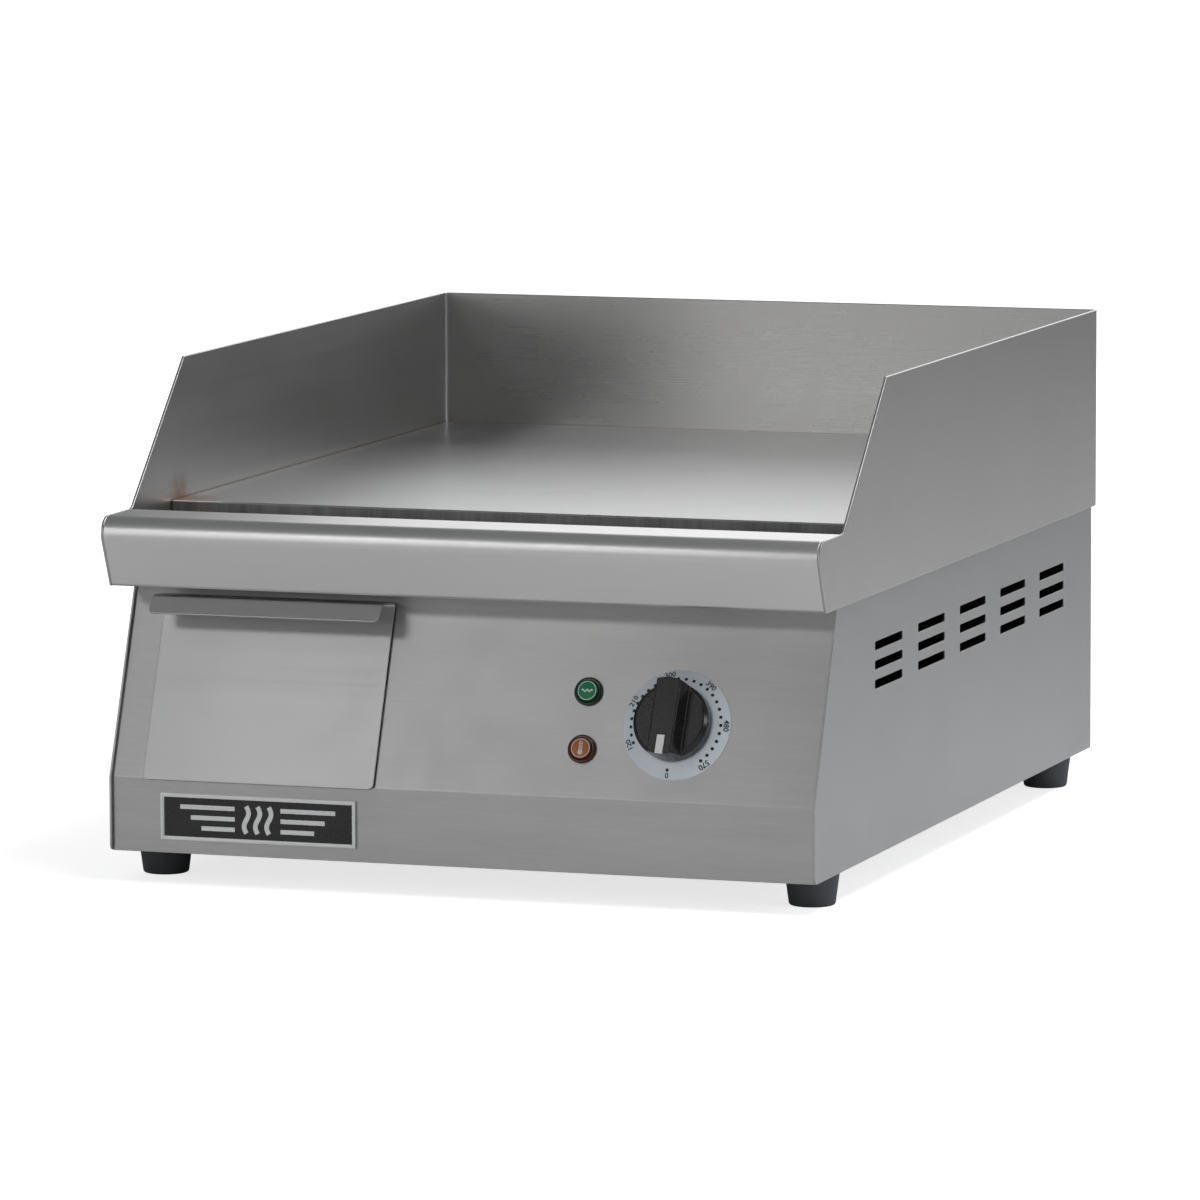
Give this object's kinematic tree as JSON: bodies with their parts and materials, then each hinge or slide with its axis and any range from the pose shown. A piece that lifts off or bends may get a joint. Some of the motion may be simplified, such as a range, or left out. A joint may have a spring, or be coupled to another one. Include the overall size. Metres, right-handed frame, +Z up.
{
  "type": "electric griddle",
  "caption": "Countertop electric griddle: steel plate in a splash guard over a sloped-front body with grease drawer, thermostat knob, indicator lights and rubber feet.",
  "frame": {"origin": "centre of the footprint (knob and gland included) on the surface it stands on", "axes": "+X to the user's right, +Y to the back, +Z up"},
  "size_m": [0.4, 0.5626, 0.271],
  "materials": {
    "brushed_stainless": "fine straight brushing",
    "plate_steel": "ground flat, satin",
    "trough_stainless": "mill finish",
    "galvanised_sheet": "zinc coated, matt",
    "foot_rubber": "matt moulded",
    "zinc_fastener": "bright zinc plate",
    "element_sheath": "heat-darkened sheath",
    "mineral_wool": "felted fibre",
    "copper_tube": "drawn copper",
    "knob_plastic": "satin moulded",
    "pointer_white": "matt inlay",
    "dial_aluminium": "satin anodised, printed scale",
    "black_moulding": "moulded",
    "green_lens": "translucent, polished",
    "amber_lens": "translucent, polished",
    "badge_plate": "bright rim, black field",
    "gland_nylon": "moulded nylon",
    "terminal_ceramic": "unglazed white",
    "lead_blue": "smooth sleeve",
    "lead_brown": "smooth sleeve",
    "lead_green": "smooth sleeve",
    "lead_white": "braided glass sleeve"
  },
  "bodies": {
    "housing": {"badge_plate": "badge_plate", "base_panel": "galvanised_sheet", "bulb_saddle": "galvanised_sheet", "cable_gland": "gland_nylon", "capillary_tube": "copper_tube", "clamp_nuts": "zinc_fastener", "dial_ring": "dial_aluminium", "drain_spout": "trough_stainless", "drawer_guide_left": "galvanised_sheet", "drawer_guide_right": "galvanised_sheet", "earth_lead": "lead_green", "earth_stud": "zinc_fastener", "element_clamps": "galvanised_sheet", "foot_front_left": "foot_rubber", "foot_front_right": "foot_rubber", "foot_nuts": "zinc_fastener", "foot_rear_left": "foot_rubber", "foot_rear_right": "foot_rubber", "foot_screws": "zinc_fastener", "front_panel": "brushed_stainless", "front_rail": "brushed_stainless", "gland_nut": "gland_nylon", "grease_trough": "trough_stainless", "griddle_plate": "plate_steel", "guide_brackets": "galvanised_sheet", "heat_light_body": "black_moulding", "heat_light_lens": "amber_lens", "heat_light_nut": "black_moulding", "heat_shield": "galvanised_sheet", "heating_element_left": "element_sheath", "heating_element_right": "element_sheath", "insulation_blanket": "mineral_wool", "lamp_leads": "lead_white", "live_leads": "lead_brown", "neutral_leads": "lead_blue", "plate_studs": "zinc_fastener", "plate_support_left": "galvanised_sheet", "plate_support_right": "galvanised_sheet", "power_light_body": "black_moulding", "power_light_lens": "green_lens", "power_light_nut": "black_moulding", "rear_panel": "brushed_stainless", "rear_screws": "zinc_fastener", "sensor_bulb": "element_sheath", "side_panel_left": "brushed_stainless", "side_panel_right": "brushed_stainless", "splash_guard": "brushed_stainless", "terminal_block": "terminal_ceramic", "terminal_screws": "zinc_fastener", "thermostat_body": "black_moulding", "thermostat_screws": "zinc_fastener"},
    "drawer": {"drawer_front": "brushed_stainless", "drawer_tray": "brushed_stainless"},
    "knob": {"thermostat_knob": "knob_plastic", "thermostat_shaft": "zinc_fastener", "knob_pointer": "pointer_white"}
  },
  "joints": [
    {"name": "drawer_slide", "type": "slide", "parent": "housing", "child": "drawer", "axis": [0, -1, 0], "range_m": [0, 0.24]},
    {"name": "thermostat_turn", "type": "hinge", "parent": "housing", "child": "knob", "pos_m": [0.1162, -0.25202, 0.09525], "axis": [0, -0.933, 0.36], "range_deg": [-316, 0]}
  ]
}
